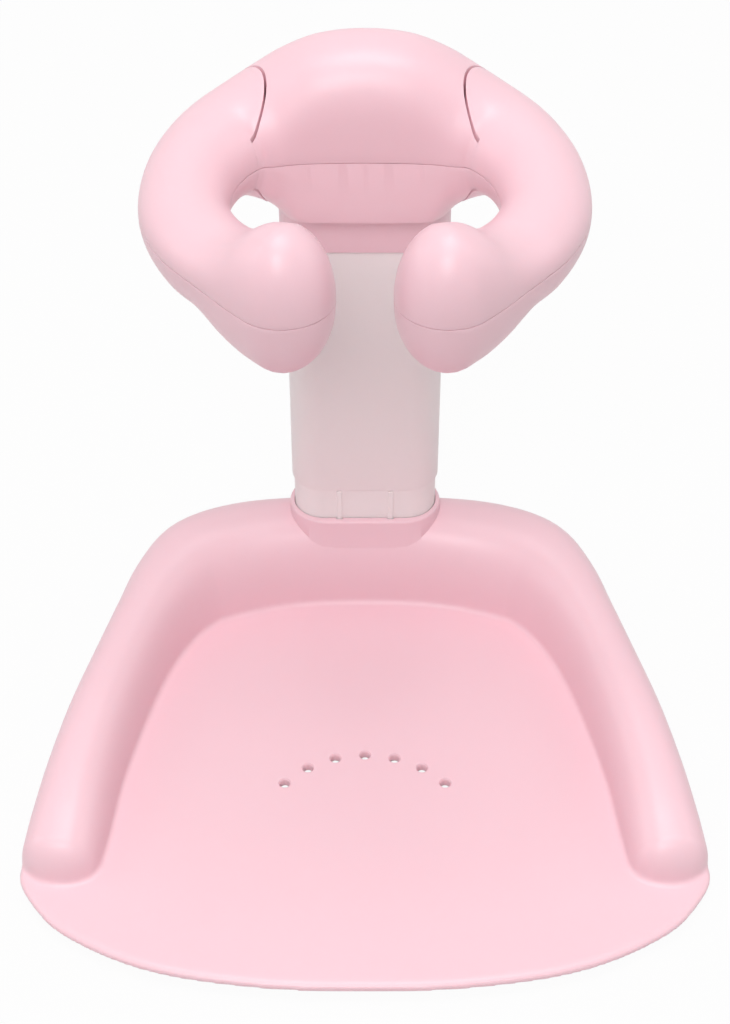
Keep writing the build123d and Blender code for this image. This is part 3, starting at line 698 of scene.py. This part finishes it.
def head_shell(name, side):
    rows = [row for row in bow_rows(side) if row[1] > head_front]
    shell = arched(name, with_left(rows), seam_z + side * seam_gap)
    if side < 0:
        right = [(head_bottom_half, head_bottom), (head_flank_half, head_flank),
                 (pivot[0], head_bottom), (pivot[0], head_high)]
        keep = [(-head_bottom_half, head_bottom)] + right + [(-x, z) for x, z in right[:0:-1]]
        ends = [[(x, y, z) for x, z in keep] for y in (0.0, 200.0)]
        combined(shell, "INTERSECT", rings_joined("keep", ends))
        collar = plate_like("collar", stadium(collar_length, collar_depth, socket_y, 32), [
            (0.8, collar_low), (0.2, collar_low + 0.3), (0.0, collar_low + 0.9), (0.0, collar_high)])
        combined(shell, "UNION", collar)
        bore = plate_like("bore", stadium(sleeve_bore_length, sleeve_bore_depth, socket_y, 32), [
            (0, below), (0, post_high)])
        combined(shell, "DIFFERENCE", bore)
    for mirrored in (1, -1):
        combined(shell, "DIFFERENCE", beyond_pivot(knuckle_radius + knuckle_gap, mirrored),
                 limb_room(mirrored))
    softened(shell, edge_round)
    if side < 0:
        places = [(mirrored * x, y) for x, y in head_screws for mirrored in (1, -1)]
        pocketed(shell, places, head_pocket_top)
    shaded(shell)
    dressed(shell, pink)
    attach(shell, "post")
    return shell


head_lower = head_shell("head_lower_half", -1)
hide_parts("head_lower_shell")
head_upper = head_shell("head_upper_half", 1)
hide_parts("head_upper_shell")
stainless = steel("stainless_screws", (0.66, 0.67, 0.68), 0.28, (1, 1, 0.1))
dressed(nodes["head_screws"], stainless)

# Yoke: a stiff grey bracket screwed on top of the post inside the head. Its two limbs pass
# through the slots and end in an eye with a bush for each arm's pin.

yoke_grey = plastic("grey_filled_nylon", (0.62, 0.60, 0.59), (0.52, 0.50, 0.49), 0.5,
                    share=0.5, grain=1500.0, depth=0.00008)
dressed(nodes["hinge_yoke"], yoke_grey)
dressed(nodes["yoke_screws"], stainless)
bush_white = plastic("white_bush_plastic", (0.86, 0.85, 0.82), (0.80, 0.79, 0.75), 0.3)
for side in ("left", "right"):
    dressed(nodes[f"{side}_pivot_bush"], bush_white)

# Arms: two fat pink shells each, closed by three screws from below, round in section and
# swelling to a tall bulb at the tip. Each turns on a steel pin in a round shoulder at the head.

arm_swing = 70.0
slot_depth = 8.4
arm_screws, arm_pocket_top = ((84.0, 66.0), (72.0, 28.0), (38.0, -9.0)), 293.0
arm_inner = 12.0
arc_steps = 24


def arm_shell(name, side, mirrored):
    rows = [row for row in bow_rows(side) if row[0] > arm_inner]
    rows += round_end(rows[-1], bow_size["tip"][0])
    shell = arched(name, rows, seam_z + side * seam_gap)
    combined(shell, "INTERSECT", beyond_pivot(knuckle_radius))
    lug = degrees(atan2(limb_knee[1] - pivot[1], limb_knee[0] - pivot[0])) % 360
    margin = degrees(limb_half / knuckle_radius)
    sector = []
    for radius, way in ((knuckle_radius - slot_depth, 1), (knuckle_radius + 1, -1)):
        for step in range(arc_steps + 1)[::way]:
            share = step / arc_steps
            angle = radians(lug - arm_swing - margin + (arm_swing + 2 * margin) * share)
            sector.append((pivot[0] + radius * cos(angle), pivot[1] + radius * sin(angle)))
    combined(shell, "DIFFERENCE", plate_like("slot", sector, [(0, slot_low), (0, slot_high)]))
    softened(shell, edge_round)
    if side < 0:
        pocketed(shell, arm_screws, arm_pocket_top)
    if mirrored < 0:
        for point in shell.data.vertices:
            point.co.x = -point.co.x
        shell.data.flip_normals()
    shaded(shell)
    dressed(shell, pink)
    return shell


ground_pin = steel("ground_steel_pin", (0.64, 0.65, 0.66), 0.25, (1, 1, 0.1))
for side, mirrored in (("left", -1), ("right", 1)):
    for half, way in (("lower", -1), ("upper", 1)):
        shell = arm_shell(f"{side}_arm_{half}_half", way, mirrored)
        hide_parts(f"{side}_arm_{half}_shell")
        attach(shell, f"{side}_arm")
    for part, metal in (("arm_screws", stainless), ("pivot_pin", ground_pin),
                        ("friction_washers", drawn_wire)):
        dressed(nodes[f"{side}_{part}"], metal)
